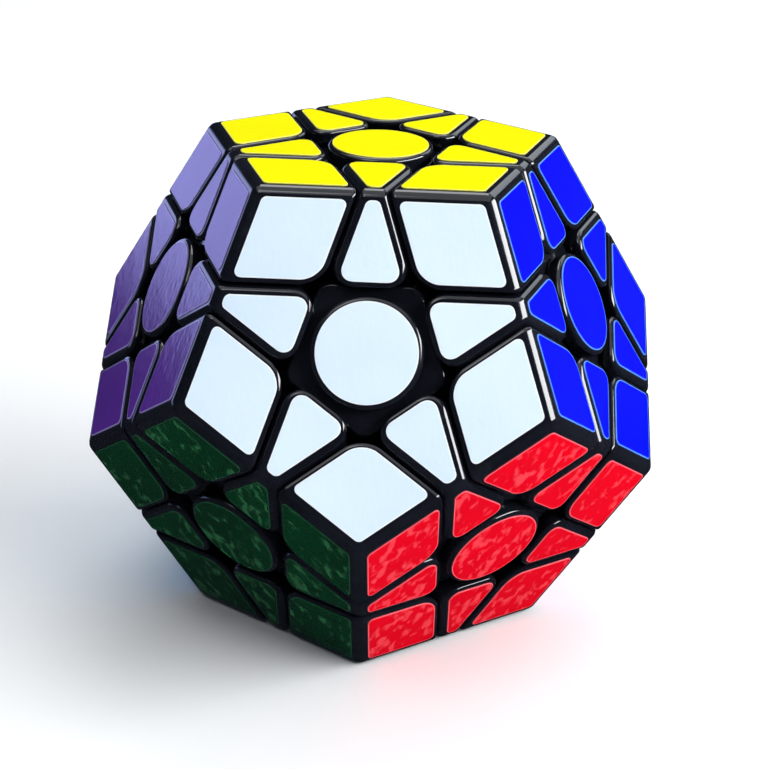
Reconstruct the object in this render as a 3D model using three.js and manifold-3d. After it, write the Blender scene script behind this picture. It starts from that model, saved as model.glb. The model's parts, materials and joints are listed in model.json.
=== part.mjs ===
// Dodecahedron twisty puzzle: twelve face layers around a core, drawn in millimetres with +Z up.
// Every corner, edge and centre is a cell between the turning surfaces of the twelve face layers.
// Each turning surface is a surface of revolution about its face axis: a plane outside, then a step
// on a sphere, then a cone. So any layer can turn, and the feet stay trapped under the neighbours.
import * as THREE from 'three';
import { mergeVertices } from 'three/addons/utils/BufferGeometryUtils.js';
import Module from 'manifold-3d';

const wasm = await Module();
wasm.setup();

// Driving dimensions.
const SIDE = 30;                                   // side of each pentagonal face
const GAP = 0.36;                                  // clearance between neighbouring pieces
const CUT_SHARE = 0.43;                            // cut line's distance from a face's side, in sides
const STEP_RADIUS = 1.03 * SIDE;                   // sphere where the pieces narrow to their feet
const FOOT_RADIUS = 0.78 * SIDE;                   // where the feet end, around the hollow middle
const FOOT_CONE = THREE.MathUtils.degToRad(52);    // how far a layer's feet reach from its axis
const RIDGE_FLAT = 0.2;                            // taken off the ridges
const CORNER_FLAT = 0.5;                           // taken off the twenty corners
const CAP_RADIUS = 7.1;                            // round cap that covers the screw
const CAP_DROP = 1.8;                              // depth of the flange below the cap's face
const TIP_CUT = 1.5;                               // taken off the tips that meet beside the cap
const TIP_DEPTH = 3.2;                             // how deep the cut tips go

const HUB_RADIUS = 12;
const POST_RADIUS = 3.6;
const POST_TOP = 19;
const STILL_STALK_END = 21;
const STALK_END = 19.4;
const CUP_FLOOR = 21.4;
const CUP_TOP = 31.9;
const CUP_RADIUS = 3.4;
const BORE_RADIUS = 1.8;

const SCREW_RADIUS = 1.4;
const SCREW_TIP = 10.5;
const SCREW_NECK = 26.6;
const HEAD_RADIUS = 2.9;
const HEAD_HEIGHT = 2;
const SLOT_WIDTH = 0.8;
const SLOT_DEPTH = 1.1;

const SPRING_RADIUS = 2.35;
const SPRING_WIRE = 0.35;
const SPRING_START = 22.2;
const SPRING_END = 25.8;
const SPRING_TURNS = 4;

const ROUND_STEPS = 20;
const SMALL_STEPS = 12;
const CAP_STEPS = 20;
const BIG = 60;

// Sizes that follow from the side of a regular dodecahedron.
const GOLDEN = (1 + Math.sqrt(5)) / 2;
const FACE_TILT = Math.acos(1 / Math.sqrt(5));
const FACE_HEIGHT = SIDE * GOLDEN ** 2 / (2 * Math.sqrt(3 - GOLDEN));
const RIDGE_HEIGHT = SIDE * GOLDEN ** 2 / 2;
const CORNER_HEIGHT = SIDE * GOLDEN * Math.sqrt(3) / 2;
const CUT_HEIGHT = FACE_HEIGHT - CUT_SHARE * SIDE * Math.sin(FACE_TILT);
const FACE_APOTHEM = SIDE / (2 * Math.tan(Math.PI / 5));
const PIT_RADIUS = (FACE_APOTHEM - CUT_SHARE * SIDE) / Math.cos(Math.PI / 5);

const UP = new THREE.Vector3(0, 0, 1);
const BLACK = { color: 0x101014, roughness: 0.25, metalness: 0 };
const STEEL = { color: 0xb8bcc2, roughness: 0.35, metalness: 1 };

// The twelve faces, each with its sticker colour and the direction it looks in.
function ringFaces(names, tilt, firstAngle) {
  return names.map((name, index) => {
    const angle = THREE.MathUtils.degToRad(firstAngle + 72 * index);
    const direction = new THREE.Vector3().setFromSphericalCoords(1, tilt, angle);
    return { name, direction: new THREE.Vector3(direction.z, direction.x, direction.y) };
  });
}

const UPPER_RING = ['white', 'blue', 'light_green', 'orange', 'purple'];
const LOWER_RING = ['red', 'pink', 'grey', 'light_blue', 'dark_green'];
const FACES = [
  { name: 'yellow', direction: UP.clone() },
  ...ringFaces(UPPER_RING, FACE_TILT, -90),
  ...ringFaces(LOWER_RING, Math.PI - FACE_TILT, -54),
  { name: 'cream', direction: UP.clone().negate() },
];
const TURNING_FACES = ['white', 'orange', 'cream'];

function touches(first, second) {
  return Math.abs(first.direction.dot(second.direction) - Math.cos(FACE_TILT)) < 0.01;
}

function neighboursOf(face) {
  return FACES.filter((other) => touches(face, other));
}

// Groups of two or three faces that all touch, each found once.
function touchingGroups(count) {
  let groups = FACES.map((face) => [face]);
  for (let size = 1; size < count; size += 1) {
    groups = groups.flatMap((group) => {
      const later = FACES.slice(FACES.indexOf(group.at(-1)) + 1);
      const fitting = later.filter((face) => group.every((member) => touches(member, face)));
      return fitting.map((face) => [...group, face]);
    });
  }
  return groups;
}

function middleOf(faces) {
  const sum = new THREE.Vector3();
  faces.forEach((face) => sum.add(face.direction));
  return sum.normalize();
}

const EDGE_PLACES = touchingGroups(2);
const CORNER_PLACES = touchingGroups(3);

// Each place has its own axes: out along `middleOf`, and across towards its first face.
function placeTurn(faces) {
  const out = middleOf(faces);
  const towards = faces.length > 1 ? faces[0].direction : neighboursOf(faces[0])[0].direction;
  const across = towards.clone().projectOnPlane(out).normalize();
  const side = out.clone().cross(across);
  const matrix = new THREE.Matrix4().makeBasis(across, side, out);
  return new THREE.Quaternion().setFromRotationMatrix(matrix);
}

// Closed solids made from three.js geometry.
function solidOf(geometry) {
  geometry.deleteAttribute('normal');
  geometry.deleteAttribute('uv');
  const merged = mergeVertices(geometry);
  const source = merged.index.array;
  const triangles = [];
  for (let i = 0; i < source.length; i += 3) {
    const [a, b, c] = source.slice(i, i + 3);
    if (a !== b && b !== c && c !== a) {
      triangles.push(a, b, c);
    }
  }
  const vertProperties = new Float32Array(merged.attributes.position.array);
  const triVerts = new Uint32Array(triangles);
  return new wasm.Manifold(new wasm.Mesh({ numProp: 3, vertProperties, triVerts }));
}

function geometryOf(solid) {
  const mesh = solid.getMesh();
  const geometry = new THREE.BufferGeometry();
  geometry.setAttribute('position', new THREE.BufferAttribute(new Float32Array(mesh.vertProperties), 3));
  geometry.setIndex(new THREE.BufferAttribute(new Uint32Array(mesh.triVerts), 1));
  geometry.computeVertexNormals();
  return geometry;
}

function aimed(geometry, from, direction) {
  const turn = new THREE.Quaternion().setFromUnitVectors(from, direction);
  return geometry.applyQuaternion(turn);
}

function slab(direction, halfThickness) {
  const box = new THREE.BoxGeometry(2 * BIG, 2 * BIG, 2 * halfThickness);
  return solidOf(aimed(box, UP, direction));
}

function beyond(direction, distance) {
  const box = new THREE.BoxGeometry(2 * BIG, 2 * BIG, BIG);
  box.translate(0, 0, distance + BIG / 2);
  return solidOf(aimed(box, UP, direction));
}

function rod(direction, radius, start, end, steps) {
  const cylinder = new THREE.CylinderGeometry(radius, radius, end - start, steps);
  cylinder.translate(0, (start + end) / 2, 0);
  return solidOf(aimed(cylinder, new THREE.Vector3(0, 1, 0), direction));
}

function intersectSlabs(directions, halfThickness) {
  return directions.map((direction) => slab(direction, halfThickness)).reduce((a, b) => a.intersect(b));
}

function puzzleBody() {
  const faces = intersectSlabs(FACES.map((face) => face.direction), FACE_HEIGHT);
  const ridges = intersectSlabs(EDGE_PLACES.map(middleOf), RIDGE_HEIGHT - RIDGE_FLAT);
  const corners = intersectSlabs(CORNER_PLACES.map(middleOf), CORNER_HEIGHT - CORNER_FLAT);
  return faces.intersect(ridges).intersect(corners);
}

// One face layer, drawn in by `inset` on every turning surface, or out where `inset` is negative.
// Its round surfaces are faceted: a layer drawn out has its facets around the true circles.
function layer(face, inset) {
  const spread = inset < 0 ? 1 / Math.cos(Math.PI / ROUND_STEPS) : 1;
  const radius = STEP_RADIUS - inset;
  const height = CUT_HEIGHT + inset;
  const apex = inset / Math.sin(FOOT_CONE);
  const along = Math.sqrt(radius ** 2 - (apex * Math.sin(FOOT_CONE)) ** 2) - apex * Math.cos(FOOT_CONE);
  const profile = [
    new THREE.Vector2(0, apex),
    new THREE.Vector2(spread * along * Math.sin(FOOT_CONE), apex + along * Math.cos(FOOT_CONE)),
    new THREE.Vector2(spread * Math.sqrt(radius ** 2 - height ** 2), height),
    new THREE.Vector2(BIG, height),
    new THREE.Vector2(BIG, BIG),
    new THREE.Vector2(0, BIG),
  ];
  const lathe = new THREE.LatheGeometry(profile, ROUND_STEPS);
  return solidOf(aimed(lathe, new THREE.Vector3(0, 1, 0), face.direction));
}

function insideLayers(solid, faces) {
  return faces.reduce((rest, face) => rest.intersect(layer(face, GAP / 2)), solid);
}

function outsideLayers(solid, faces) {
  return faces.reduce((rest, face) => rest.subtract(layer(face, -GAP / 2)), solid);
}

// The tips of four pieces meet beside each cap and are cut back there, which leaves a small pit.
function pitsOf(face) {
  return CORNER_PLACES.filter((faces) => faces.includes(face)).map((faces) => {
    const across = middleOf(faces).projectOnPlane(face.direction).normalize();
    const middle = face.direction.clone().multiplyScalar(FACE_HEIGHT).addScaledVector(across, PIT_RADIUS);
    return { face, middle };
  });
}

function tipBlock(pit, away) {
  const block = new THREE.BoxGeometry(4 * TIP_CUT, 2 * TIP_CUT, 2 * TIP_DEPTH);
  const across = away.clone().cross(pit.face.direction);
  const turn = new THREE.Matrix4().makeBasis(across, away, pit.face.direction);
  block.applyMatrix4(turn.setPosition(pit.middle));
  return solidOf(block);
}

function withCutTips(solid, faces, direction) {
  return faces.flatMap(pitsOf).reduce((rest, pit) => {
    const away = direction.clone().multiplyScalar(FACE_HEIGHT).sub(pit.middle);
    away.projectOnPlane(pit.face.direction).normalize();
    return rest.subtract(tipBlock(pit, away));
  }, solid);
}

function cornerSolid(body, faces) {
  const direction = middleOf(faces);
  const block = body.intersect(beyond(direction, FOOT_RADIUS));
  return withCutTips(insideLayers(block, faces), faces, direction);
}

function edgeSolid(body, faces) {
  const direction = middleOf(faces);
  const ends = FACES.filter((face) => !faces.includes(face) && faces.every((other) => touches(face, other)));
  const block = body.intersect(beyond(direction, FOOT_RADIUS));
  return withCutTips(outsideLayers(insideLayers(block, faces), ends), faces, direction);
}

// A centre: a stalk in the middle of the feet, a flange over them, and the round cap on top.
function centreSolid(body, face, stalkEnd) {
  const { direction } = face;
  const cell = outsideLayers(body.intersect(beyond(direction, stalkEnd)), neighboursOf(face));
  const capTop = rod(direction, CAP_RADIUS, FACE_HEIGHT - CAP_DROP - 1, BIG, CAP_STEPS);
  return cell.subtract(beyond(direction, FACE_HEIGHT - CAP_DROP).subtract(capTop));
}

function hollowCentreSolid(body, face) {
  const bore = rod(face.direction, BORE_RADIUS, STALK_END - 1, CUP_FLOOR + 1, SMALL_STEPS);
  const cup = rod(face.direction, CUP_RADIUS, CUP_FLOOR, CUP_TOP, SMALL_STEPS);
  return centreSolid(body, face, STALK_END).subtract(bore.add(cup));
}

// The core: a hub with twelve posts. Nine posts carry on into the centres that stay still.
function coreSolid(body) {
  const hub = intersectSlabs(FACES.map((face) => face.direction), HUB_RADIUS);
  const still = FACES.filter((face) => !TURNING_FACES.includes(face.name));
  const turning = FACES.filter((face) => TURNING_FACES.includes(face.name));
  const posts = turning.map((face) => rod(face.direction, POST_RADIUS, 0, POST_TOP, SMALL_STEPS));
  const necks = still.map((face) => rod(face.direction, POST_RADIUS, 0, STILL_STALK_END + 1, SMALL_STEPS));
  const centres = still.map((face) => centreSolid(body, face, STILL_STALK_END));
  const holes = turning.map((face) => rod(face.direction, BORE_RADIUS, SCREW_TIP - 1, BIG, SMALL_STEPS));
  const whole = [...posts, ...necks, ...centres].reduce((a, b) => a.add(b), hub);
  return holes.reduce((a, b) => a.subtract(b), whole);
}

function screwSolid(face) {
  const { direction } = face;
  const shank = rod(direction, SCREW_RADIUS, SCREW_TIP, SCREW_NECK + 0.5, SMALL_STEPS);
  const head = rod(direction, HEAD_RADIUS, SCREW_NECK, SCREW_NECK + HEAD_HEIGHT, SMALL_STEPS);
  const slotSize = 2 * HEAD_RADIUS - 1.6;
  const cross = [[slotSize, SLOT_WIDTH], [SLOT_WIDTH, slotSize]].map(([width, height]) => {
    const bar = new THREE.BoxGeometry(width, height, 2 * SLOT_DEPTH);
    bar.translate(0, 0, SCREW_NECK + HEAD_HEIGHT);
    return solidOf(aimed(bar, UP, direction));
  });
  return shank.add(head).subtract(cross[0].add(cross[1]));
}

class Helix extends THREE.Curve {
  getPoint(share) {
    const angle = share * SPRING_TURNS * 2 * Math.PI;
    const height = THREE.MathUtils.lerp(SPRING_START, SPRING_END, share);
    return new THREE.Vector3(SPRING_RADIUS * Math.cos(angle), SPRING_RADIUS * Math.sin(angle), height);
  }
}

function springGeometry(face) {
  const section = new THREE.Shape();
  const sides = 5;
  const points = Array.from({ length: sides }, (_, index) => {
    const angle = index * 2 * Math.PI / sides;
    return new THREE.Vector2(SPRING_WIRE * Math.cos(angle), SPRING_WIRE * Math.sin(angle));
  });
  section.setFromPoints(points);
  const steps = SPRING_TURNS * 9;
  const coil = new THREE.ExtrudeGeometry(section, { steps, bevelEnabled: false, extrudePath: new Helix() });
  return geometryOf(solidOf(aimed(coil, UP, face.direction)));
}

function turnFromHome(home, place) {
  return placeTurn(place).multiply(placeTurn(home).invert());
}

function pieceName(kind, faces) {
  return [kind, ...faces.map((face) => face.name)].join('_');
}

function addPiece(group, name, geometry, finish, turn) {
  const mesh = new THREE.Mesh(geometry, new THREE.MeshStandardMaterial({ ...finish, flatShading: true }));
  mesh.name = name;
  mesh.quaternion.copy(turn);
  group.add(mesh);
}

function addCopies(group, kind, places, geometry, finish) {
  places.forEach((place) => {
    addPiece(group, pieceName(kind, place), geometry, finish, turnFromHome(places[0], place));
  });
}

function buildPuzzle() {
  const puzzle = new THREE.Group();
  puzzle.position.z = FACE_HEIGHT;
  const body = puzzleBody();
  const turning = FACES.filter((face) => TURNING_FACES.includes(face.name)).map((face) => [face]);
  const [home] = turning[0];
  addPiece(puzzle, 'core', geometryOf(coreSolid(body)), BLACK, new THREE.Quaternion());
  addCopies(puzzle, 'centre', turning, geometryOf(hollowCentreSolid(body, home)), BLACK);
  addCopies(puzzle, 'screw', turning, geometryOf(screwSolid(home)), STEEL);
  addCopies(puzzle, 'spring', turning, springGeometry(home), STEEL);
  addCopies(puzzle, 'corner', CORNER_PLACES, geometryOf(cornerSolid(body, CORNER_PLACES[0])), BLACK);
  addCopies(puzzle, 'edge', EDGE_PLACES, geometryOf(edgeSolid(body, EDGE_PLACES[0])), BLACK);
  return puzzle;
}

export default buildPuzzle();
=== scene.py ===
"""Looks of a dodecahedron twisty puzzle: glossy black mouldings, round caps and coloured stickers."""
import json
import math

import bmesh
import bpy
from mathutils import Matrix, Vector


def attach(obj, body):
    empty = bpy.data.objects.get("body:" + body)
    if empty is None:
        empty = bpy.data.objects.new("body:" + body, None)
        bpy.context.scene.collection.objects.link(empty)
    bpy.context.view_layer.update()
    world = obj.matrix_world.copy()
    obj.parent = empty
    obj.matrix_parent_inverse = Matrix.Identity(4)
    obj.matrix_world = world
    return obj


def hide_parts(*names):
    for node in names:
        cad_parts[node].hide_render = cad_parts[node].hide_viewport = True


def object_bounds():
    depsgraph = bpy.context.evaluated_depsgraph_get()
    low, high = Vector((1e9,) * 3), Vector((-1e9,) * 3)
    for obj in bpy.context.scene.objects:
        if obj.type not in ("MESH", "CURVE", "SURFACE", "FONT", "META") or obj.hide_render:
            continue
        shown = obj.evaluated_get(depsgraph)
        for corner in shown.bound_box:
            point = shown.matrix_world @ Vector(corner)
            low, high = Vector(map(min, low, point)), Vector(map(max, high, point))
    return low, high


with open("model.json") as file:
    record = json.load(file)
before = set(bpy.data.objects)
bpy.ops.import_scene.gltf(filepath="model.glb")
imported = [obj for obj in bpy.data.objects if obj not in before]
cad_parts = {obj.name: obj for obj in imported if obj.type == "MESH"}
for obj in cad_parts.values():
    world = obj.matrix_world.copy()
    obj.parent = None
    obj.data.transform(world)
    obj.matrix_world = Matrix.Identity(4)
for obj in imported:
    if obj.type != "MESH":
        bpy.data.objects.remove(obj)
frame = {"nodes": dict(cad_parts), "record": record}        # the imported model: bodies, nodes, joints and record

CAD_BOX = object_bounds()
MM = 0.001

# A regular dodecahedron. `FACE_TILT` is the angle between the ways that two touching faces look.
GOLDEN = (1 + math.sqrt(5)) / 2
FACE_TILT = math.acos(1 / math.sqrt(5))
FACE_HEIGHT_PER_SIDE = GOLDEN ** 2 / (2 * math.sqrt(3 - GOLDEN))
FIFTH_TURN = 72
UPPER_RING_START = -90
LOWER_RING_START = -54

# Tolerances: for angles and cosines, for normals that point one way, and for welding points.
CLOSE = 0.01
PARALLEL = 0.9999
CUT_WELD = 1e-7
COIL_WELD = 1e-6

# Sockets of Blender's Mix node when it mixes colours.
MIX_SHARE = 0
MIX_FIRST = 6
MIX_SECOND = 7
MIX_RESULT = 2

# The whole puzzle. Heights are measured from its middle, along a face's axis.
FACE_HEIGHT = (CAD_BOX[1][2] - CAD_BOX[0][2]) / 2
SIDE = FACE_HEIGHT / FACE_HEIGHT_PER_SIDE
MIDDLE = Vector((0, 0, CAD_BOX[0][2] + FACE_HEIGHT))
STICKER_THICKNESS = 0.12 * MM
PLASTIC_HEIGHT = FACE_HEIGHT - STICKER_THICKNESS
GAP = 0.34 * MM
TOOL_RUN = 1 * MM                  # how far a cutting rod runs past what it cuts
CUT_SHARE = 0.43                   # a cut line's distance from a face's side, in sides
CUT_HEIGHT = FACE_HEIGHT - CUT_SHARE * SIDE * math.sin(FACE_TILT)
STEP_RADIUS = 1.03 * SIDE
FOOT_HEIGHT = 0.79 * SIDE

# Roundings of the mouldings. Plastic fills the broad angle between two outer faces, and the sharp
# angle between an edge's end wall and the wall beside it.
BROAD_ANGLE = math.pi - FACE_TILT
SHARP_ANGLE = FACE_TILT
OUTER_REACH = math.radians(45)     # every outer face looks within this of its piece's way out
RIDGE_ROUND = 1.6 * MM
RIM_WIDTH = 0.85 * MM
CORNER_TIP_ROUND = 4.8 * MM
EDGE_TIP_ROUND = 2.2 * MM
FOOT_ROUND = 0.4 * MM
FOOT_SHARP = 0.6                   # edges of a foot that turn by more than this are rounded
RIDGE_SEGMENTS = 6
RIM_SEGMENTS = 4
SMALL_SEGMENTS = 3
CORNER_TIP_SEGMENTS = 14
EDGE_TIP_SEGMENTS = 12
SMOOTH_ANGLE = 35
WIRE_SMOOTH_ANGLE = 50

# Feet: how far their flanks lean out, in degrees, and the necks that carry them.
CORNER_FOOT_REACH = 11
EDGE_FOOT_REACH = 18
EDGE_FOOT_END_REACH = 5.2
CORNER_NECK_RADIUS = 3.7 * MM
EDGE_NECK_RADIUS = 3.1 * MM
NECK_START = FOOT_HEIGHT + 1 * MM
NECK_END = STEP_RADIUS + 1.5 * MM

# Stickers, as distances from the middle of the face.
STICKER_INNER = 0.297 * SIDE
STICKER_OUTER = 0.643 * SIDE
STICKER_FLANK = 0.2246 * SIDE
STICKER_CORNER_ROUND = 0.8 * MM
CORNER_STICKER_TIP_ROUND = 3.3 * MM
EDGE_STICKER_TIP_ROUND = 1.5 * MM
CORNER_STICKER_TIP_REACH = 0.4 * SIDE
EDGE_STICKER_TIP_REACH = 0.45 * SIDE
STICKER_SEGMENTS = 8
CAP_STICKER_RADIUS = 0.2185 * SIDE
CUT_EDGE_WIDTH = 0.09 * MM
CUT_EDGE_ROUND = 0.05 * MM

# Cap and centre.
CAP_RADIUS = 0.2405 * SIDE
CAP_ROUND = 0.6 * MM
CAP_SEGMENTS = 6
CAP_SIDES = 96
CAP_SEAT = 0.03 * MM
FLANGE_TOP = PLASTIC_HEIGHT - 2.25 * MM
FLANGE_ROUND = 2.0 * MM
FLANGE_RIM = 0.25 * MM
FLANGE_BASE = STEP_RADIUS - 3 * MM
COLLAR_RADIUS = 5.6 * MM
COLLAR_BOTTOM = FLANGE_TOP - 2 * MM
COLLAR_TOP = FLANGE_TOP - 0.1 * MM
STALK_RADIUS = 4.3 * MM
STALK_TOP = FLANGE_TOP - 0.2 * MM
STALK_FOOT = 19.4 * MM
CUP_RADIUS = 3.4 * MM
CUP_FLOOR = 21.4 * MM
BORE_RADIUS = 1.8 * MM
PLUG_DEPTH = 2.2 * MM
PLUG_WALL = 0.8 * MM

# Core, screw and spring.
HUB_HEIGHT = 11.5 * MM
HUB_ROUND = 1.2 * MM
HUB_SEGMENTS = 4
POST_RADIUS = 3.6 * MM
POST_TOP = 19 * MM
POST_BOTTOM = HUB_HEIGHT - 2 * MM
HOLE_RADIUS = 1.45 * MM
HOLE_SIDES = 20
SCREW_RADIUS = 1.4 * MM
SCREW_SIDES = 32
SCREW_TIP = 10.5 * MM
SCREW_NECK = 26.6 * MM
THREAD_TOP = 18.5 * MM
THREAD_PITCH = 0.8 * MM
THREAD_DEPTH = 0.2 * MM
HEAD_RADIUS = 2.9 * MM
HEAD_HEIGHT = 2 * MM
DOME_STEP = 15
RECESS_LENGTH = 3.6 * MM
RECESS_WIDTH = 0.8 * MM
RECESS_DEPTH = 1.1 * MM
SPRING_RADIUS = 2.35 * MM
SPRING_WIRE = 0.35 * MM
SPRING_START = 21.85 * MM
SPRING_END = 26.15 * MM
SPRING_TURNS = 5
SPRING_STEPS = 24
WIRE_SIDES = 10

# The studio: a floor, and a camera that stands `CAMERA_PLACE` sides away from the puzzle's middle.
FLOOR_RADIUS = 4.0
FLOOR_SIDES = 96
CAMERA_PLACE = Vector((0.2974, -8.6451, 3.6694))
CAMERA_LENS = 92.8
CAMERA_SENSOR = 36
CAMERA_HEADING = 1.64
CAMERA_DOWN = 23.40
CAMERA_ROLL = 1.71
CAMERA_NEAR = 1 * MM

# The room round it. The glow is a band between these heights, as sines of the elevation, and it is
# brightest where the direction agrees best with `GLOW_WAY`.
GLOW_WAY = (-0.72, 0.69, 0)
GLOW_HEIGHTS = (-0.10, -0.08, 0.07, 0.18)
GLOW_AGREEMENT = (0.75, 0.9)
ROOM_TONE = (0.018, 0.022, 0.03)
FAINT_GLOW = (0.05, 0.055, 0.06)
BRIGHT_GLOW = (1.05, 1.2, 2.4)


# ---------------------------------------------------------------- places on the puzzle

def direction(tilt, turn_degrees):
    turn = math.radians(turn_degrees)
    return Vector((math.sin(tilt) * math.cos(turn), math.sin(tilt) * math.sin(turn), math.cos(tilt)))


UPPER_RING = ("white", "blue", "light_green", "orange", "purple")
LOWER_RING = ("red", "pink", "grey", "light_blue", "dark_green")
FACES = {"yellow": Vector((0, 0, 1))}
for ring, tilt, start in (
    (UPPER_RING, FACE_TILT, UPPER_RING_START),
    (LOWER_RING, math.pi - FACE_TILT, LOWER_RING_START),
):
    for step, ring_face in enumerate(ring):
        FACES[ring_face] = direction(tilt, start + FIFTH_TURN * step)
FACES["cream"] = Vector((0, 0, -1))
HOME_FACE = "yellow"


def touch(first, second):
    return abs(FACES[first].dot(FACES[second]) - math.cos(FACE_TILT)) < CLOSE


def neighbours(*faces):
    return [other for other in FACES if all(touch(face, other) for face in faces)]


def touching_groups(count):
    """Groups of this many faces that all touch, each found once."""
    names = list(FACES)
    groups = [(name,) for name in names]
    for _ in range(count - 1):
        groups = [
            group + (name,)
            for group in groups
            for name in names[names.index(group[-1]) + 1:]
            if all(touch(name, member) for member in group)
        ]
    return groups


EDGE_PLACES = touching_groups(2)
CORNER_PLACES = touching_groups(3)


def outward(faces):
    return sum((FACES[face] for face in faces), Vector()).normalized()


def at(height, way):
    """The point at this height above the middle of the puzzle, along a direction."""
    return MIDDLE + way * height


def axes(out, towards):
    """Turns +Z to `out`, and +X as near to `towards` as that allows."""
    across = (towards - out * towards.dot(out)).normalized()
    return Matrix((across, out.cross(across), out)).transposed().to_4x4()


def turned(home, place):
    """The motion about the puzzle's middle that takes the axes `home` to the axes `place`."""
    return Matrix.Translation(MIDDLE) @ place @ home.inverted() @ Matrix.Translation(-MIDDLE)


def face_axes(face):
    return axes(FACES[face], FACES[neighbours(face)[0]])


def place_axes(faces):
    return axes(outward(faces), FACES[faces[0]])


# ---------------------------------------------------------------- modelling steps

def only(piece):
    """Makes a piece the only one selected, and active."""
    bpy.ops.object.select_all(action="DESELECT")
    bpy.context.view_layer.objects.active = piece
    piece.select_set(True)


def start_piece(name):
    """Names the primitive that was just added and puts its place in its mesh."""
    piece = bpy.context.object
    piece.name = name
    piece.data.name = name
    only(piece)
    bpy.ops.object.transform_apply(location=True, rotation=True, scale=True)
    return piece


def add_block(name):
    """A block larger than the puzzle, ready to be carved down."""
    bpy.ops.object.select_all(action="DESELECT")
    bpy.ops.mesh.primitive_cube_add(size=3 * SIDE, location=MIDDLE)
    return start_piece(name)


def add_ball(name, radius):
    """A ball round the puzzle's middle."""
    bpy.ops.object.select_all(action="DESELECT")
    bpy.ops.mesh.primitive_uv_sphere_add(segments=72, ring_count=36, radius=radius, location=MIDDLE)
    return start_piece(name)


def add_rod(name, way, radius, start, end, sides=32):
    """A rod along a direction, between two heights above the puzzle's middle."""
    turn = way.to_track_quat("Z", "Y").to_euler()
    place = at((start + end) / 2, way)
    bpy.ops.object.select_all(action="DESELECT")
    bpy.ops.mesh.primitive_cylinder_add(
        vertices=sides, radius=radius, depth=end - start, location=place, rotation=turn
    )
    return start_piece(name)


def carve(piece, planes):
    """Cuts a piece down to what lies behind every plane, given as a point and a way out."""
    only(piece)
    bpy.ops.object.mode_set(mode="EDIT")
    for point, way in planes:
        bpy.ops.mesh.select_all(action="SELECT")
        bpy.ops.mesh.bisect(
            plane_co=point, plane_no=way, use_fill=True, clear_outer=True, threshold=CUT_WELD
        )
    bpy.ops.object.mode_set(mode="OBJECT")


def pick_edges(chooser):
    """Selects the edges that the chooser accepts, from the two normals and the middle of each."""
    bpy.ops.mesh.select_mode(type="EDGE")
    bpy.ops.mesh.select_all(action="DESELECT")
    mesh = bmesh.from_edit_mesh(bpy.context.object.data)
    for edge in mesh.edges:
        if len(edge.link_faces) == 2:
            first, second = (face.normal for face in edge.link_faces)
            middle = (edge.verts[0].co + edge.verts[1].co) / 2
            edge.select_set(bool(chooser(first, second, middle)))
    bmesh.update_edit_mesh(bpy.context.object.data)


def pick_faces(chooser):
    """Selects the faces that the chooser accepts, from the normal and the middle of each."""
    bpy.ops.mesh.select_mode(type="FACE")
    bpy.ops.mesh.select_all(action="DESELECT")
    mesh = bmesh.from_edit_mesh(bpy.context.object.data)
    for face in mesh.faces:
        face.select_set(bool(chooser(face.normal, face.calc_center_median())))
    bmesh.update_edit_mesh(bpy.context.object.data)


def bevel_edges(piece, chooser, width, segments, measure="OFFSET"):
    """Bevels the edges that the chooser accepts."""
    only(piece)
    bpy.ops.object.mode_set(mode="EDIT")
    pick_edges(chooser)
    bpy.ops.mesh.bevel(offset=width, offset_type=measure, segments=segments, affect="EDGES")
    bpy.ops.object.mode_set(mode="OBJECT")


def round_edges(piece, chooser, radius, inside_angle, segments):
    """Rounds the chosen edges that hold this angle of material between their faces."""
    def fits(first, second, middle):
        holds = math.pi - first.angle(second)
        return abs(holds - inside_angle) < 2 * CLOSE and chooser(first, second, middle)

    bevel_edges(piece, fits, radius / math.tan(inside_angle / 2), segments)


def combine(piece, tool, operation):
    """Joins or cuts a piece with a tool, and uses the tool up."""
    modifier = piece.modifiers.new("combine", "BOOLEAN")
    modifier.operation = operation
    modifier.solver = "EXACT"
    modifier.object = tool
    only(piece)
    bpy.ops.object.modifier_apply(modifier=modifier.name)
    bpy.data.objects.remove(tool)


def finish_shading(piece, angle=SMOOTH_ANGLE):
    """Smooth shading over the roundings, with the flats kept flat."""
    only(piece)
    bpy.ops.object.shade_smooth_by_angle(angle=math.radians(angle))
    modifier = piece.modifiers.new("weigh", "WEIGHTED_NORMAL")
    modifier.keep_sharp = True
    bpy.ops.object.modifier_apply(modifier=modifier.name)


def along(normal, way):
    """Whether a normal points along a direction."""
    return normal.dot(way) > PARALLEL


def along_one(normal, faces):
    return any(along(normal, FACES[face]) for face in faces)


def at_end(out):
    """Accepts the edges round an end of a rod along `out`."""
    return lambda first, second, middle: max(abs(first.dot(out)), abs(second.dot(out))) > 1 - CLOSE


# ---------------------------------------------------------------- mouldings

def face_plane(face):
    """The plane of a face's plastic, as a point and a way out."""
    return at(PLASTIC_HEIGHT, FACES[face]), FACES[face]


def inside_layer(face):
    """The plane that keeps a piece inside a face's layer."""
    return at(CUT_HEIGHT + GAP / 2, FACES[face]), -FACES[face]


def outside_layer(face):
    """The plane that keeps a piece out of a face's layer."""
    return at(CUT_HEIGHT - GAP / 2, FACES[face]), FACES[face]


def soften_outside(piece, faces):
    """Rounds the ridges between the outer faces, then the rim all round them."""
    out = outward(faces)

    def is_outer(normal):
        return normal.angle(out) < OUTER_REACH

    round_edges(
        piece, lambda first, second, middle: along_one(first, faces) and along_one(second, faces),
        RIDGE_ROUND, BROAD_ANGLE, RIDGE_SEGMENTS,
    )
    bevel_edges(
        piece, lambda first, second, middle: is_outer(first) != is_outer(second),
        RIM_WIDTH, RIM_SEGMENTS, "WIDTH",
    )


def foot_flank(out, away, reach):
    """A plane through the puzzle's middle, `reach` degrees from `out`, away from a direction."""
    side = (out * out.dot(away) - away).normalized()
    angle = math.radians(reach)
    return MIDDLE, (side * math.cos(angle) - out * math.sin(angle)).normalized()


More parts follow.
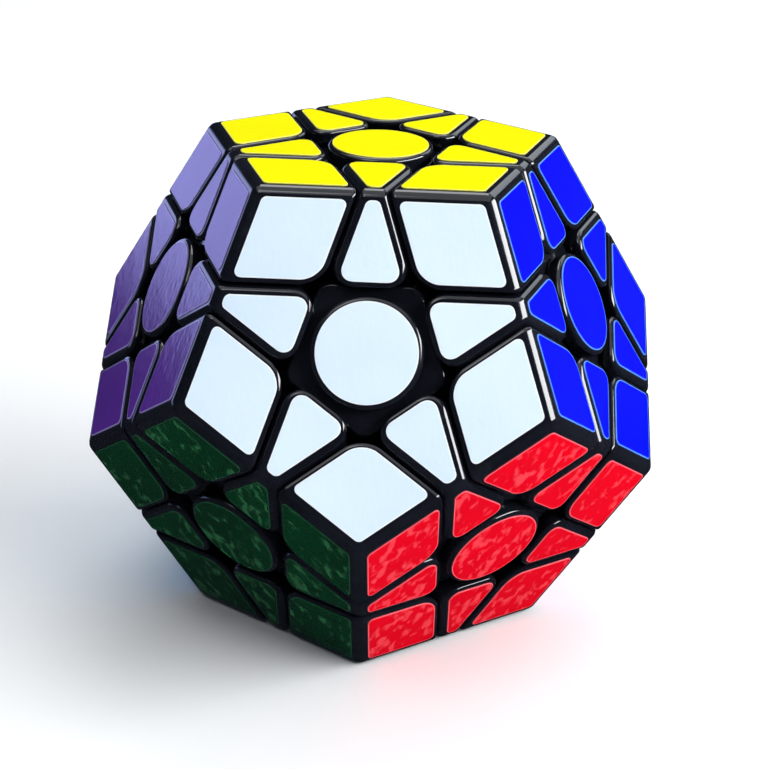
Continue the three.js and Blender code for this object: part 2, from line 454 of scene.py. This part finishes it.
def add_foot(piece, out, flanks, neck_radius):
    """Hollows a piece over the feet of its neighbours, and gives it a neck and a foot of its own."""
    combine(piece, add_ball("clearance", STEP_RADIUS + GAP / 2), "DIFFERENCE")
    foot = add_ball("foot", STEP_RADIUS - GAP / 2)
    carve(foot, [*flanks, (at(FOOT_HEIGHT, out), -out)])
    bevel_edges(
        foot, lambda first, second, middle: first.angle(second) > FOOT_SHARP, FOOT_ROUND, SMALL_SEGMENTS
    )
    combine(foot, add_rod("neck", out, neck_radius, NECK_START, NECK_END), "UNION")
    combine(piece, foot, "UNION")


def corner_moulding():
    """One corner: three outer faces, three walls with round tips, and a foot with three flanks."""
    faces = CORNER_PLACES[0]
    out = outward(faces)
    piece = add_block("corner_moulding")
    carve(piece, [face_plane(face) for face in faces] + [inside_layer(face) for face in faces])
    round_edges(
        piece, lambda first, second, middle: first.dot(out) < 0 and second.dot(out) < 0,
        CORNER_TIP_ROUND, BROAD_ANGLE, CORNER_TIP_SEGMENTS,
    )
    soften_outside(piece, faces)
    add_foot(
        piece, out, [foot_flank(out, FACES[face], CORNER_FOOT_REACH) for face in faces], CORNER_NECK_RADIUS
    )
    finish_shading(piece)
    return piece


def edge_moulding():
    """One edge: two outer faces, four walls with round tips, and a foot with four flanks."""
    faces = EDGE_PLACES[0]
    ends = neighbours(*faces)
    out = outward(faces)
    piece = add_block("edge_moulding")
    walls = [inside_layer(face) for face in faces] + [outside_layer(face) for face in ends]
    carve(piece, [face_plane(face) for face in faces] + walls)
    round_edges(
        piece, lambda first, second, middle: along_one(first, ends) or along_one(second, ends),
        EDGE_TIP_ROUND, SHARP_ANGLE, EDGE_TIP_SEGMENTS,
    )
    soften_outside(piece, faces)
    flanks = [foot_flank(out, FACES[face], EDGE_FOOT_REACH) for face in faces]
    flanks += [foot_flank(out, -FACES[end], EDGE_FOOT_END_REACH) for end in ends]
    add_foot(piece, out, flanks, EDGE_NECK_RADIUS)
    finish_shading(piece)
    return piece


def centre_moulding():
    """One centre: a flange with five walls and round tips, on a stalk with a cup and a bore."""
    out = FACES[HOME_FACE]
    piece = add_block("centre_moulding")
    walls = [outside_layer(face) for face in neighbours(HOME_FACE)]
    carve(piece, [(at(FLANGE_TOP, out), out), (at(FLANGE_BASE, out), -out)] + walls)
    round_edges(
        piece, lambda first, second, middle: not along(first, out) and not along(second, out),
        FLANGE_ROUND, BROAD_ANGLE, RIDGE_SEGMENTS,
    )
    bevel_edges(
        piece, lambda first, second, middle: along(first, out) or along(second, out),
        FLANGE_RIM, SMALL_SEGMENTS,
    )
    combine(piece, add_ball("clearance", STEP_RADIUS + GAP / 2), "DIFFERENCE")
    combine(piece, add_rod("collar", out, COLLAR_RADIUS, COLLAR_BOTTOM, COLLAR_TOP), "UNION")
    combine(piece, add_rod("stalk", out, STALK_RADIUS, STALK_FOOT, STALK_TOP), "UNION")
    combine(piece, add_rod("cup", out, CUP_RADIUS, CUP_FLOOR, FLANGE_TOP + TOOL_RUN), "DIFFERENCE")
    bore = add_rod("bore", out, BORE_RADIUS, STALK_FOOT - TOOL_RUN, CUP_FLOOR + TOOL_RUN)
    combine(piece, bore, "DIFFERENCE")
    finish_shading(piece)
    return piece


def cap_moulding():
    """One cap: a round disc with a soft rim, and under it a hollow plug that snaps into the cup."""
    out = FACES[HOME_FACE]
    piece = add_rod("cap_moulding", out, CAP_RADIUS, FLANGE_TOP + CAP_SEAT, PLASTIC_HEIGHT, CAP_SIDES)
    bevel_edges(piece, at_end(out), CAP_ROUND, CAP_SEGMENTS)
    only(piece)
    bpy.ops.object.mode_set(mode="EDIT")
    pick_faces(lambda normal, middle: along(normal, -out))
    bpy.ops.mesh.inset(thickness=CAP_RADIUS - CAP_ROUND - CUP_RADIUS + GAP / 2)
    bpy.ops.mesh.extrude_region_move(TRANSFORM_OT_translate={"value": -out * PLUG_DEPTH})
    bpy.ops.mesh.inset(thickness=PLUG_WALL)
    bpy.ops.mesh.extrude_region_move(TRANSFORM_OT_translate={"value": out * PLUG_DEPTH})
    bpy.ops.object.mode_set(mode="OBJECT")
    finish_shading(piece)
    return piece


def core_moulding():
    """The core: a twelve-sided hub with a hollow post for the screw of each centre."""
    piece = add_block("core_spider")
    carve(piece, [(at(HUB_HEIGHT, way), way) for way in FACES.values()])
    round_edges(piece, lambda first, second, middle: True, HUB_ROUND, BROAD_ANGLE, HUB_SEGMENTS)
    for way in FACES.values():
        combine(piece, add_rod("post", way, POST_RADIUS, POST_BOTTOM, POST_TOP), "UNION")
    for way in FACES.values():
        hole = add_rod("hole", way, HOLE_RADIUS, SCREW_TIP - TOOL_RUN, POST_TOP + TOOL_RUN, HOLE_SIDES)
        combine(piece, hole, "DIFFERENCE")
    finish_shading(piece)
    return piece


# ---------------------------------------------------------------- screw and spring

def turn_profile(name, profile, sides):
    """A solid turned about the vertical through the puzzle's middle, from radii and heights."""
    radius, height = profile[0]
    bpy.ops.object.select_all(action="DESELECT")
    bpy.ops.mesh.primitive_circle_add(
        vertices=sides, radius=radius, fill_type="NGON", location=at(height, FACES[HOME_FACE])
    )
    piece = start_piece(name)
    bpy.ops.object.mode_set(mode="EDIT")
    bpy.ops.mesh.select_all(action="SELECT")
    for next_radius, next_height in profile[1:]:
        bpy.ops.mesh.extrude_region_move(TRANSFORM_OT_translate={"value": (0, 0, next_height - height)})
        bpy.ops.transform.resize(value=(next_radius / radius, next_radius / radius, 1))
        radius, height = next_radius, next_height
    bpy.ops.mesh.select_all(action="SELECT")
    bpy.ops.mesh.normals_make_consistent(inside=False)
    bpy.ops.object.mode_set(mode="OBJECT")
    return piece


def cross_screw():
    """One screw: a ringed thread, a plain shank and a domed head with a cross recess."""
    root = SCREW_RADIUS - THREAD_DEPTH
    profile = [(root / 2, SCREW_TIP), (root, SCREW_TIP + THREAD_PITCH / 2)]
    turns = int((THREAD_TOP - SCREW_TIP) / THREAD_PITCH) - 1
    for turn in range(1, turns + 1):
        height = SCREW_TIP + turn * THREAD_PITCH
        profile += [(SCREW_RADIUS, height), (root, height + THREAD_PITCH / 2)]
    profile += [(SCREW_RADIUS, THREAD_TOP), (SCREW_RADIUS, SCREW_NECK), (HEAD_RADIUS, SCREW_NECK)]
    dome = [math.radians(angle) for angle in range(0, 90, DOME_STEP)]
    profile += [
        (HEAD_RADIUS - HEAD_HEIGHT / 2 * (1 - math.cos(angle)),
         SCREW_NECK + HEAD_HEIGHT / 2 * (1 + math.sin(angle)))
        for angle in dome
    ]
    piece = turn_profile("cross_screw", profile, SCREW_SIDES)
    out = FACES[HOME_FACE]
    for way in (Vector((1, 0, 0)), Vector((0, 1, 0))):
        across = out.cross(way)
        recess = add_block("recess")
        carve(recess, [
            (MIDDLE + way * RECESS_LENGTH / 2, way),
            (MIDDLE - way * RECESS_LENGTH / 2, -way),
            (MIDDLE + across * RECESS_WIDTH / 2, across),
            (MIDDLE - across * RECESS_WIDTH / 2, -across),
            (at(SCREW_NECK + HEAD_HEIGHT - RECESS_DEPTH, out), -out),
        ])
        combine(piece, recess, "DIFFERENCE")
    finish_shading(piece)
    return piece


def coil_spring():
    """One spring: a round wire wound round the screw."""
    bpy.ops.object.select_all(action="DESELECT")
    bpy.ops.mesh.primitive_circle_add(
        vertices=WIRE_SIDES, radius=SPRING_WIRE, rotation=(math.pi / 2, 0, 0),
        location=at(SPRING_START + SPRING_WIRE, FACES[HOME_FACE]) + Vector((SPRING_RADIUS, 0, 0)),
    )
    piece = start_piece("coil_spring")
    winding = piece.modifiers.new("winding", "SCREW")
    winding.axis = "Z"
    winding.iterations = SPRING_TURNS
    winding.steps = winding.render_steps = SPRING_STEPS
    winding.screw_offset = (SPRING_END - SPRING_START - 2 * SPRING_WIRE) / SPRING_TURNS
    bpy.ops.object.modifier_apply(modifier=winding.name)
    bpy.ops.object.mode_set(mode="EDIT")
    bpy.ops.mesh.select_all(action="SELECT")
    bpy.ops.mesh.remove_doubles(threshold=COIL_WELD)
    bpy.ops.mesh.fill_holes(sides=0)
    bpy.ops.mesh.select_all(action="SELECT")
    bpy.ops.mesh.normals_make_consistent(inside=False)
    bpy.ops.object.mode_set(mode="OBJECT")
    finish_shading(piece, WIRE_SMOOTH_ANGLE)
    return piece


# ---------------------------------------------------------------- stickers

def finish_sticker(piece, face):
    """Softens a sticker's upper rim and marks its cut edge, where the vinyl's pale body shows.

    The largest polygon that looks outwards is the printed top, and all the others are the cut edge.
    """
    out = FACES[face]
    bevel_edges(
        piece, lambda first, second, middle: along(first, out) != along(second, out), CUT_EDGE_ROUND, 2
    )
    only(piece)
    bpy.ops.object.mode_set(mode="EDIT")
    pick_faces(lambda normal, middle: along(normal, out))
    bpy.ops.mesh.inset(thickness=CUT_EDGE_WIDTH)
    bpy.ops.object.mode_set(mode="OBJECT")
    printed = max(polygon.area for polygon in piece.data.polygons if along(polygon.normal, out))
    cut_edge = piece.data.attributes.new("cut_edge", "FLOAT", "FACE")
    cut_edge.data.foreach_set("value", [float(polygon.area < printed) for polygon in piece.data.polygons])
    finish_shading(piece)
    return piece


def cut_sticker(name, face, limits):
    """A sheet of vinyl on one face, cut along straight lines given as distances and ways out."""
    out = FACES[face]
    piece = add_block(name)
    sides = [(MIDDLE + way * distance, way) for distance, way in limits]
    carve(piece, [(at(FACE_HEIGHT, out), out), (at(PLASTIC_HEIGHT, out), -out)] + sides)
    return piece


def way_to(face, other):
    """The way along a face towards the side that it shares with another."""
    return (FACES[other] - FACES[face] * FACES[other].dot(FACES[face])).normalized()


def round_sticker_corners(piece, face, tip_reach, tip_round):
    """Rounds the corners nearer than `tip_reach` to the middle of the face widely, the others less."""
    out = FACES[face]
    inside_angles = (math.radians(FIFTH_TURN), math.radians(180 - FIFTH_TURN))

    def is_side(normal):
        return abs(normal.dot(out)) < CLOSE

    def is_tip(middle):
        return (middle - MIDDLE).cross(out).length < tip_reach

    for rounds_tips, radius in ((True, tip_round), (False, STICKER_CORNER_ROUND)):
        for inside_angle in inside_angles:
            round_edges(
                piece, lambda first, second, middle: is_side(first) and is_side(second)
                and is_tip(middle) == rounds_tips, radius, inside_angle, STICKER_SEGMENTS,
            )


def corner_sticker():
    face, *others = CORNER_PLACES[0]
    ways = [way_to(face, other) for other in others]
    limits = [(STICKER_OUTER, way) for way in ways] + [(-STICKER_INNER, -way) for way in ways]
    piece = cut_sticker("corner_sticker", face, limits)
    round_sticker_corners(piece, face, CORNER_STICKER_TIP_REACH, CORNER_STICKER_TIP_ROUND)
    return finish_sticker(piece, face)


def edge_sticker():
    face, other = EDGE_PLACES[0]
    way = way_to(face, other)
    limits = [(STICKER_OUTER, way), (-STICKER_INNER, -way)]
    limits += [(STICKER_FLANK, way_to(face, end)) for end in neighbours(face, other)]
    piece = cut_sticker("edge_sticker", face, limits)
    round_sticker_corners(piece, face, EDGE_STICKER_TIP_REACH, EDGE_STICKER_TIP_ROUND)
    return finish_sticker(piece, face)


def cap_sticker():
    out = FACES[HOME_FACE]
    piece = add_rod("cap_sticker", out, CAP_STICKER_RADIUS, PLASTIC_HEIGHT, FACE_HEIGHT, CAP_SIDES)
    return finish_sticker(piece, HOME_FACE)


# ---------------------------------------------------------------- finishes

class Amount:
    """A number that changes over a surface: Python's arithmetic on it adds Math nodes."""

    def __init__(self, finish, socket):
        self.finish = finish
        self.socket = socket

    def maths(self, operation, first, second):
        return self.finish.node("Math", {"operation": operation}, {0: first, 1: second})

    def __add__(self, other):
        return self.maths("ADD", self, other)

    def __sub__(self, other):
        return self.maths("SUBTRACT", self, other)

    def __mul__(self, other):
        return self.maths("MULTIPLY", self, other)

    __radd__ = __add__


class Finish:
    """A material, and the one method that adds its nodes."""

    def __init__(self, name, **constants):
        self.material = bpy.data.materials.new(name)
        self.material.use_nodes = True
        self.tree = self.material.node_tree
        self.surface = next(node for node in self.tree.nodes if node.type == "BSDF_PRINCIPLED")
        for socket, value in constants.items():
            self.surface.inputs[socket.replace("_", " ")].default_value = value
        self.place = self.node("TexCoord", output="Object")

    def node(self, kind, settings=None, inputs=None, output=0):
        made = self.tree.nodes.new("ShaderNode" + kind)
        for name, value in (settings or {}).items():
            setattr(made, name, value)
        for name, value in (inputs or {}).items():
            self.join(value, made.inputs[name])
        return Amount(self, made.outputs[output])

    def join(self, value, socket):
        """Links a changing value to a socket, or sets a constant on it."""
        if isinstance(value, Amount):
            self.tree.links.new(value.socket, socket)
        else:
            socket.default_value = value

    def feed(self, **values):
        """Joins values to the surface's own inputs."""
        for name, value in values.items():
            self.join(value, self.surface.inputs[name.replace("_", " ")])

    def stretched(self, scale, turn=(0, 0, 0)):
        """Places scaled by a different amount each way, for noise that is longer one way."""
        return self.node("Mapping", {}, {"Vector": self.place, "Scale": scale, "Rotation": turn})

    def noise(self, scale, detail=3.0, roughness=0.5, distortion=0.0, place=None):
        return self.node("TexNoise", {}, {
            "Vector": place or self.place, "Scale": scale, "Detail": detail,
            "Roughness": roughness, "Distortion": distortion,
        }, "Fac")

    def ramp(self, value, low, high):
        """0 below `low`, 1 above `high`, and smooth between them."""
        return self.node("MapRange", {"interpolation_type": "SMOOTHSTEP"}, {
            "Value": value, "From Min": low, "From Max": high,
        })

    def mix(self, share, first, second):
        return self.node("Mix", {"data_type": "RGBA"}, {
            MIX_SHARE: share, MIX_FIRST: colour(first), MIX_SECOND: colour(second),
        }, MIX_RESULT)

    def bump(self, height, distance):
        self.feed(Normal=self.node("Bump", {}, {"Height": height, "Distance": distance}, "Normal"))


def colour(value):
    return value if isinstance(value, Amount) else (*value, 1)


def black_plastic():
    """Glossy moulded plastic with a faint grain, cloudy handling marks and fine hairline scratches."""
    finish = Finish("black_plastic", Specular_IOR_Level=0.65)
    grain = finish.noise(2600, 3)
    clouds = finish.ramp(finish.noise(85, 4, 0.6, 0.4), 0.35, 0.7)
    long_marks = finish.noise(1, 2, place=finish.stretched((2300, 130, 130), (0.3, 0.5, 0.8)))
    cross_marks = finish.noise(1, 2, place=finish.stretched((150, 2100, 170), (0.9, 0.2, 0.4)))
    hairlines = finish.ramp(long_marks, 0.68, 0.74) + finish.ramp(cross_marks, 0.69, 0.75)
    shade = finish.mix(clouds, (0.0045, 0.005, 0.0085), (0.008, 0.009, 0.014))
    finish.feed(
        Base_Color=finish.mix(hairlines * 0.1, shade, (0.05, 0.05, 0.055)),
        Roughness=0.05 + clouds * 0.05 + grain * 0.03 + hairlines * 0.06,
    )
    finish.bump(grain * 0.12 - hairlines * 0.15 + clouds * 0.3, 0.008 * MM)
    return finish.material


def vinyl(face, tone, deep, cut, painted_reflection_strength=0.0, painted_reflection_tone=(1, 1, 1)):
    """Glossy printed vinyl: uneven ink, a finely streaked surface, scuffs, a paler cut edge, and on some faces
    painted reflections as light flecks mixed into the ink's colour.
    """
    finish = Finish("sticker_" + face, Specular_IOR_Level=0.4)
    streaks = finish.noise(1, 3, 0.55, place=finish.stretched((1500, 1500, 330)))
    ripple = finish.noise(220, 2, 0.45)
    drift = finish.ramp(finish.noise(34, 3, 0.5), 0.3, 0.7)
    scuffs = finish.ramp(
        finish.noise(1, 4, 0.6, place=finish.stretched((900, 160, 240), (0.5, 0.7, 0.2))), 0.60, 0.78
    )
    ink = finish.mix(drift, tone, deep)
    # Painted reflections: light blotches and patches mixed into the ink's colour, standing in for reflections in
    # the glossy vinyl.
    if painted_reflection_strength:
        reflection_blotches = finish.noise(1, 2, 0.5, 0.35, place=finish.stretched((760, 760, 400), (0.2, 0.35, 0.1)))
        reflection_patches = finish.ramp(finish.noise(90, 2), 0.3, 0.7)
        ink = finish.mix(finish.ramp(reflection_blotches + reflection_patches * 0.16, 0.60, 0.78) * painted_reflection_strength, ink, painted_reflection_tone)
    edge = finish.node("Attribute", {"attribute_name": "cut_edge"}, output="Fac")
    finish.feed(
        Base_Color=finish.mix(edge, ink, cut),
        Roughness=0.08 + drift * 0.03 + scuffs * 0.1 + edge * 0.1,
    )
    finish.bump(streaks * 1.2 + ripple, 0.02 * MM)
    return finish.material


def steel():
    """Bright zinc-plated steel with fine drawing lines and a little tarnish."""
    finish = Finish("steel", Metallic=1.0)
    lines = finish.noise(1, 3, place=finish.stretched((400, 400, 6000)))
    tarnish = finish.ramp(finish.noise(600, 4), 0.45, 0.75)
    finish.feed(
        Base_Color=finish.mix(tarnish, (0.62, 0.64, 0.67), (0.40, 0.39, 0.37)),
        Roughness=0.22 + lines * 0.15 + tarnish * 0.15,
    )
    finish.bump(lines, 0.01 * MM)
    return finish.material


# Each face's ink where it is strong and where it is deeper, and the pale cut edge of its vinyl.
STICKER_TONES = {
    "yellow": ((0.98, 0.93, 0.0), (0.94, 0.87, 0.0), (0.9, 0.86, 0.12)),
    "white": ((0.74, 0.87, 0.95), (0.68, 0.81, 0.94), (0.85, 0.9, 0.95)),
    "blue": ((0.0, 0.003, 0.90), (0.0, 0.0, 0.80), (0.10, 0.28, 0.95)),
    "light_green": ((0.16, 0.62, 0.03), (0.12, 0.54, 0.025), (0.35, 0.75, 0.2)),
    "orange": ((0.95, 0.22, 0.008), (0.86, 0.18, 0.006), (0.95, 0.42, 0.15)),
    "purple": ((0.11, 0.025, 0.33), (0.085, 0.016, 0.26), (0.32, 0.25, 0.60)),
    "red": ((0.80, 0.0, 0.012), (0.68, 0.0, 0.010), (0.92, 0.12, 0.15)),
    "pink": ((0.90, 0.22, 0.42), (0.82, 0.17, 0.36), (0.95, 0.5, 0.62)),
    "grey": ((0.26, 0.27, 0.28), (0.21, 0.22, 0.23), (0.5, 0.5, 0.5)),
    "light_blue": ((0.04, 0.42, 0.78), (0.03, 0.36, 0.70), (0.3, 0.65, 0.9)),
    "dark_green": ((0.0, 0.036, 0.010), (0.0, 0.022, 0.006), (0.012, 0.07, 0.03)),
    "cream": ((0.88, 0.80, 0.52), (0.82, 0.73, 0.45), (0.95, 0.92, 0.78)),
}

# Faces whose stickers get painted reflections, light flecks mixed into the ink's colour that stand in for
# reflections in the glossy vinyl: how strong they are, and their tone.
PAINTED_REFLECTIONS = {
    "red": (0.5, (0.95, 0.10, 0.13)),
    "dark_green": (0.65, (0.035, 0.15, 0.06)),
}


# ---------------------------------------------------------------- assembly

def body_of(node):
    """The body that a node belongs to."""
    bodies = frame["record"]["behaviour"]["bodies"]
    return next(body for body, nodes in bodies.items() if node in nodes)


def declare(piece, node, slot):
    """Gives a piece its finish, makes it ride its node's body, and hides the imported part of the node that it
    stands for.
    """
    piece.data.materials.clear()
    piece.data.materials.append(FINISHES[slot])
    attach(piece, body_of(node))
    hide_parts(node)


def add_copy(home, name, motion, node, slot):
    """Puts a copy of a finished piece, with a mesh of its own, in its place on the puzzle."""
    piece = home.copy()
    piece.data = home.data.copy()
    piece.name = piece.data.name = name
    piece.data.transform(motion)
    bpy.context.scene.collection.objects.link(piece)
    declare(piece, node, slot)


def add_group(kind, places, moulding, sticker):
    """Copies a moulding to each of its places, and a sticker to each of its outer faces."""
    home = places[0]
    for faces in places:
        node = "_".join((kind,) + faces)
        motion = turned(place_axes(home), place_axes(faces))
        add_copy(moulding, "moulding_" + node, motion, node, "black_plastic")
        for face in faces:
            motion = turned(axes(FACES[home[0]], outward(home)), axes(FACES[face], outward(faces)))
            add_copy(sticker, f"sticker_{face}_on_{node}", motion, node, "sticker_" + face)
    for piece in (moulding, sticker):
        bpy.data.objects.remove(piece)


def add_centres():
    """Copies the centre, cap, cap sticker, screw and spring to every face."""
    parts = {
        "centre_moulding": (centre_moulding(), "centre_", "black_plastic"),
        "cap": (cap_moulding(), "centre_", "black_plastic"),
        "sticker_on_cap": (cap_sticker(), "centre_", None),
        "cross_screw": (cross_screw(), "screw_", "steel"),
        "coil_spring": (coil_spring(), "spring_", "steel"),
    }
    for face in FACES:
        motion = turned(face_axes(HOME_FACE), face_axes(face))
        for name, (home, prefix, slot) in parts.items():
            node = prefix + face if prefix + face in frame["nodes"] else "core"
            add_copy(home, f"{name}_{face}", motion, node, slot or "sticker_" + face)
    for home, prefix, slot in parts.values():
        bpy.data.objects.remove(home)


FINISHES = {"black_plastic": black_plastic(), "steel": steel()}
for sticker_face, tones in STICKER_TONES.items():
    FINISHES["sticker_" + sticker_face] = vinyl(sticker_face, *tones, *PAINTED_REFLECTIONS.get(sticker_face, ()))

add_group("corner", CORNER_PLACES, corner_moulding(), corner_sticker())
add_group("edge", EDGE_PLACES, edge_moulding(), edge_sticker())
add_centres()
declare(core_moulding(), "core", "black_plastic")


# ---------------------------------------------------------------- stage, light and camera

def add_floor():
    """A round pale floor that the glossy pieces don't mirror."""
    bpy.ops.object.select_all(action="DESELECT")
    bpy.ops.mesh.primitive_circle_add(
        vertices=FLOOR_SIDES, radius=FLOOR_RADIUS, fill_type="NGON", location=(0, 0, CAD_BOX[0][2])
    )
    floor = start_piece("studio_floor")
    finish = Finish("pale_floor", Roughness=0.9)
    finish.feed(Base_Color=finish.mix(finish.noise(6, 4), (0.93, 0.93, 0.93), (0.90, 0.90, 0.90)))
    floor.data.materials.append(finish.material)
    floor.visible_glossy = False


def add_softbox(name, azimuth, elevation, distance, size, power, tint=(1, 1, 1)):
    """A light panel that looks at the puzzle's middle. Azimuth 0 is the viewer's side."""
    way = direction(math.radians(90 - elevation), azimuth - 90)
    light = bpy.data.lights.new(name, "AREA")
    light.shape = "RECTANGLE"
    light.size, light.size_y = size
    light.energy = power
    light.color = tint
    lamp = bpy.data.objects.new(name, light)
    facing = way.to_track_quat("Z", "Y").to_matrix().to_4x4()
    lamp.matrix_world = Matrix.Translation(at(distance, way)) @ facing
    lamp.visible_camera = False
    bpy.context.scene.collection.objects.link(lamp)


def add_world():
    """A dim room with a pale band round the horizon, brightest behind and to the left."""
    world = bpy.data.worlds.new("studio")
    world.use_nodes = True
    nodes, links = world.node_tree.nodes, world.node_tree.links
    background = next(node for node in nodes if node.type == "BACKGROUND")
    place = nodes.new("ShaderNodeTexCoord")
    parts = nodes.new("ShaderNodeSeparateXYZ")
    links.new(place.outputs["Generated"], parts.inputs[0])

    def ramp(value, stops):
        """Colours between stops that are placed from -1 to 1."""
        spread = nodes.new("ShaderNodeMapRange")
        spread.inputs["From Min"].default_value = -1
        made = nodes.new("ShaderNodeValToRGB")
        made.color_ramp.elements[0].color = (*stops[0][1], 1)
        made.color_ramp.elements[1].color = (*stops[-1][1], 1)
        for position, tone in stops:
            made.color_ramp.elements.new((position + 1) / 2).color = (*tone, 1)
        links.new(value, spread.inputs["Value"])
        links.new(spread.outputs[0], made.inputs[0])
        return made.outputs[0]

    agreement = nodes.new("ShaderNodeVectorMath")
    agreement.operation = "DOT_PRODUCT"
    agreement.inputs[1].default_value = GLOW_WAY
    links.new(place.outputs["Generated"], agreement.inputs[0])
    none, full = (0, 0, 0), (1, 1, 1)
    height = ramp(parts.outputs["Z"], tuple(zip(GLOW_HEIGHTS, (none, full, full, none))))
    glow = ramp(agreement.outputs["Value"], tuple(zip(GLOW_AGREEMENT, (FAINT_GLOW, BRIGHT_GLOW))))
    mix = nodes.new("ShaderNodeMix")
    mix.data_type = "RGBA"
    mix.inputs[MIX_FIRST].default_value = (*ROOM_TONE, 1)
    links.new(height, mix.inputs[MIX_SHARE])
    links.new(glow, mix.inputs[MIX_SECOND])
    links.new(mix.outputs[MIX_RESULT], background.inputs["Color"])
    bpy.context.scene.world = world


def add_camera():
    camera = bpy.data.cameras.new("camera")
    camera.lens = CAMERA_LENS
    camera.sensor_width = CAMERA_SENSOR
    camera.clip_start = CAMERA_NEAR
    lookout = bpy.data.objects.new("camera", camera)
    turns = (
        Matrix.Rotation(math.radians(CAMERA_HEADING), 4, "Z")
        @ Matrix.Rotation(math.radians(90 - CAMERA_DOWN), 4, "X")
        @ Matrix.Rotation(math.radians(CAMERA_ROLL), 4, "Z")
    )
    lookout.matrix_world = Matrix.Translation(MIDDLE + CAMERA_PLACE * SIDE) @ turns
    bpy.context.scene.collection.objects.link(lookout)
    bpy.context.scene.camera = lookout


add_floor()
add_softbox(
    "key_softbox", azimuth=76, elevation=30, distance=0.8, size=(1.0, 0.2), power=10.0,
    tint=(0.96, 0.98, 1.0),
)
add_softbox(
    "overhead_softbox", azimuth=0, elevation=89, distance=1.8, size=(3.0, 3.0), power=25.0,
    tint=(0.93, 0.97, 1.0),
)
add_softbox("front_fill", azimuth=-35, elevation=62, distance=1.0, size=(0.4, 0.4), power=1.2)
add_softbox("back_softbox", azimuth=180, elevation=55, distance=1.2, size=(0.6, 0.6), power=4.0)
add_softbox(
    "rim_softbox", azimuth=148, elevation=30, distance=0.9, size=(0.5, 0.35), power=0.9,
    tint=(0.85, 0.93, 1.0),
)
add_world()
add_camera()
bpy.context.scene.view_settings.view_transform = "Standard"
